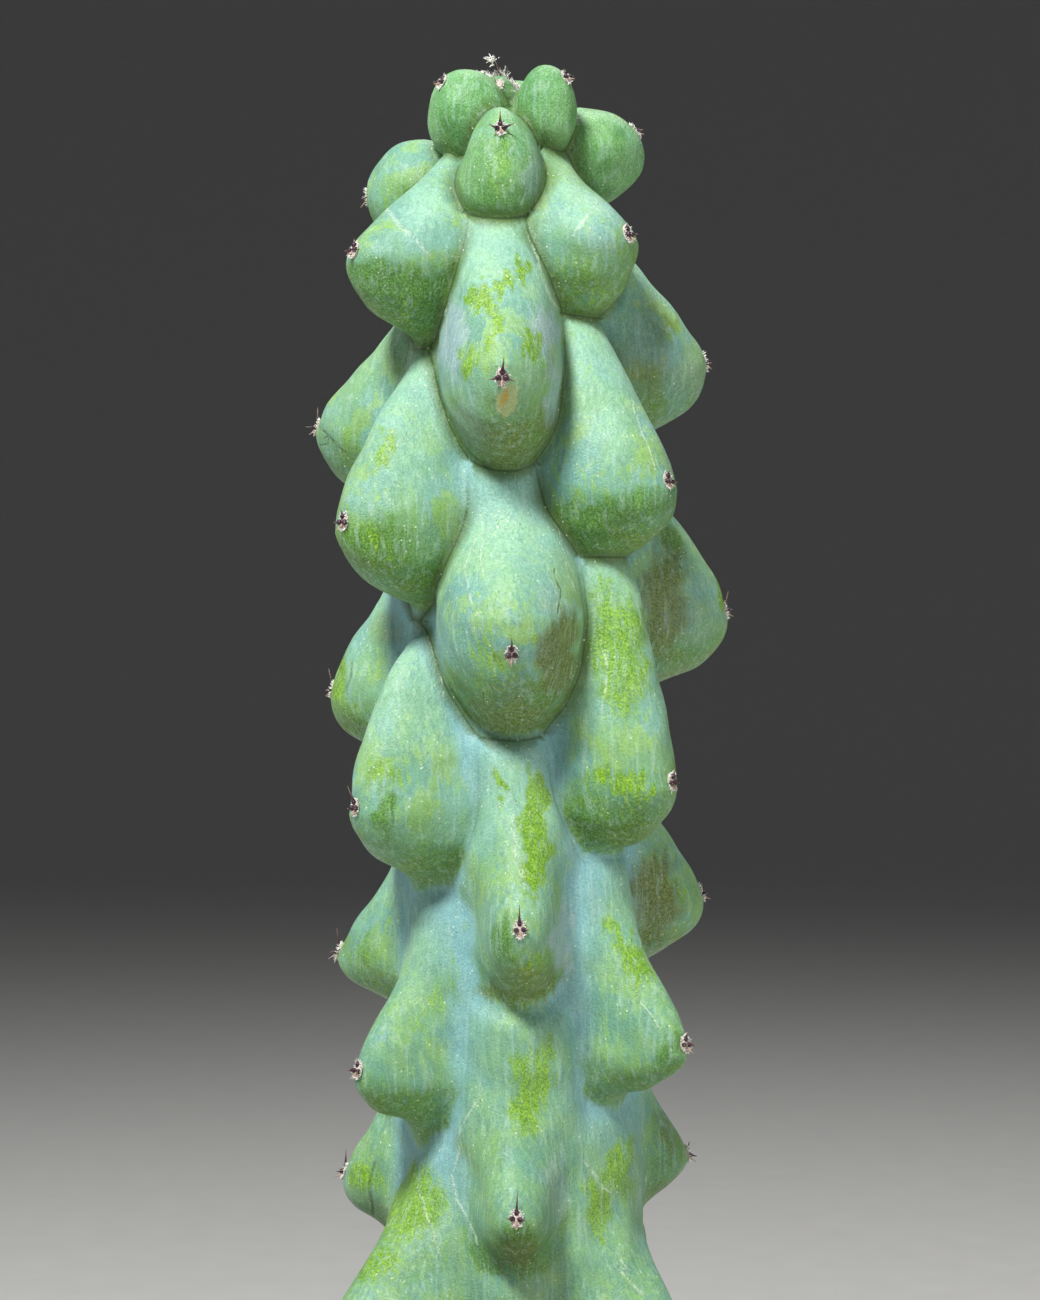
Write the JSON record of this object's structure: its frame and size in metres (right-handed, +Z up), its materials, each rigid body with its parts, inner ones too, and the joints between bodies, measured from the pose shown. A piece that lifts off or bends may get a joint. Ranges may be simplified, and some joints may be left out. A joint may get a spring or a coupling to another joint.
{
  "type": "potted column cactus",
  "caption": "Upright ribbed column cactus with hanging, rounded breast-like tubercles, felted areoles and short dark spines, standing in gritty soil in a plain round clay pot.",
  "frame": {"origin": "centre of the pot's underside, on the surface that the pot stands on", "axes": "+Z up along the stem; -Y is the front that the picture shows, +X to its right"},
  "size_m": [0.1416, 0.1416, 0.3807],
  "materials": {
    "cactus_skin": "waxy blue-green skin with a pale bloom, rubbed yellow-green in patches",
    "areole_felt": "short off-white felt",
    "spine": "dark purple-black, slightly glossy",
    "potting_grit": "matt gritty potting mix",
    "clay": "matt unglazed clay"
  },
  "bodies": {
    "root": {"cactus_stem": "cactus_skin", "soil": "potting_grit", "pot": "clay"}
  },
  "joints": []
}
